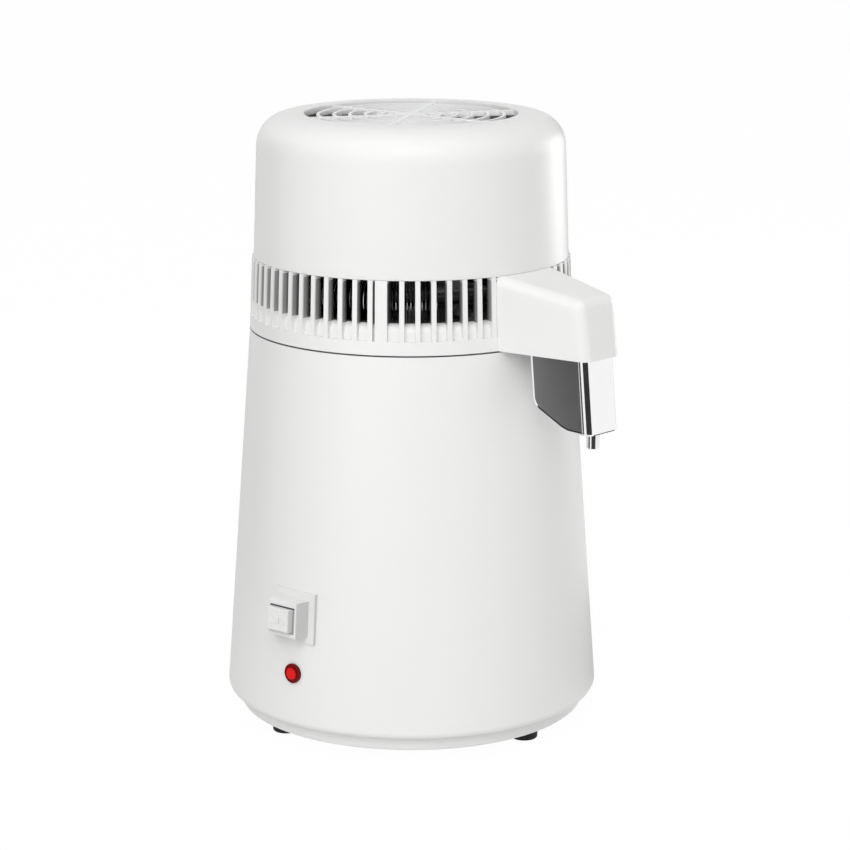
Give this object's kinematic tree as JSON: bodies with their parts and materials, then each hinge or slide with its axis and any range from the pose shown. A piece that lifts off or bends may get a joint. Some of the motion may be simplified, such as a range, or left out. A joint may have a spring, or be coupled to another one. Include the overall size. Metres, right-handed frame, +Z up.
{
  "type": "countertop water distiller",
  "caption": "Tapered countertop water distiller with a lift-off vented head, finned condenser, spout with a steel filter cup, push switch and red lamp.",
  "frame": {"origin": "on the floor under the casing's axis", "axes": "+Z up along the casing's axis, -Y to the front, close to the spout, -X towards the switch"},
  "size_m": [0.2422, 0.2719, 0.3765],
  "materials": {
    "casing_white": "satin white moulded plastic",
    "switch_white": "matt white moulded plastic",
    "inner_black": "matt black moulded plastic",
    "foot_rubber": "black rubber",
    "seal_silicone": "pale silicone",
    "steel": "stainless steel, brushed",
    "zinc_steel": "zinc plated steel",
    "fin_aluminium": "bright aluminium sheet",
    "plate_aluminium": "cast aluminium",
    "element_sheath": "heat darkened steel sheath",
    "thermostat_body": "brown phenolic plastic",
    "contact_brass": "nickel free brass",
    "spring_steel": "spring steel wire",
    "winding_copper": "varnished copper wire",
    "lamp_red": "clear red lens",
    "lamp_bulb": "small glow bulb"
  },
  "bodies": {
    "base": {"outer_body": "casing_white", "base_pan": "casing_white", "foot_front": "foot_rubber", "foot_rear_left": "foot_rubber", "foot_rear_right": "foot_rubber", "foot_screws": "zinc_steel", "base_screws": "zinc_steel", "boiling_chamber": "steel", "heat_plate": "plate_aluminium", "heating_element": "element_sheath", "element_clamp": "zinc_steel", "clamp_nuts": "zinc_steel", "boil_thermostat": "thermostat_body", "reset_thermostat": "thermostat_body", "thermostat_bracket": "zinc_steel", "switch_bezel": "switch_white", "start_switch": "inner_black", "switch_terminals": "contact_brass", "button_spring": "spring_steel", "indicator_lens": "lamp_red", "indicator_bulb": "lamp_bulb", "mains_inlet": "inner_black", "inlet_pins": "contact_brass"},
    "button": {"start_button": "switch_white"},
    "head": {"vent_ring": "casing_white", "head_screws": "zinc_steel", "dome_cover": "casing_white", "steam_lid": "steel", "lid_gasket": "seal_silicone", "lid_nuts": "zinc_steel", "condenser_coil": "steel", "condenser_fins": "fin_aluminium", "coil_clips": "zinc_steel", "fan_bracket": "zinc_steel", "motor_core": "zinc_steel", "motor_winding": "winding_copper", "bearing_caps": "zinc_steel", "motor_screws": "zinc_steel", "fan_inlet": "inner_black", "fan_inlet_pins": "contact_brass"},
    "fan": {"fan_impeller": "inner_black", "fan_shaft": "steel", "motor_rotor": "zinc_steel"},
    "cup": {"filter_cup": "steel", "outlet_tube": "steel"}
  },
  "joints": [
    {"name": "head_lift", "type": "slide", "parent": "base", "child": "head", "axis": [0, 0, 1], "range_m": [0, 0.25]},
    {"name": "fan_spin", "type": "hinge", "parent": "head", "child": "fan", "pos_m": [0, 0, 0.33], "axis": [0, 0, 1], "continuous": true},
    {"name": "button_press", "type": "slide", "parent": "base", "child": "button", "axis": [0.9973, 0, -0.0736], "range_m": [0, 0.003], "stiffness_N_per_m": 400, "deforming": ["button_spring"]},
    {"name": "cup_drop", "type": "slide", "parent": "head", "child": "cup", "axis": [-0.0089, -0.0937, -0.9956], "range_m": [0, 0.06]}
  ]
}
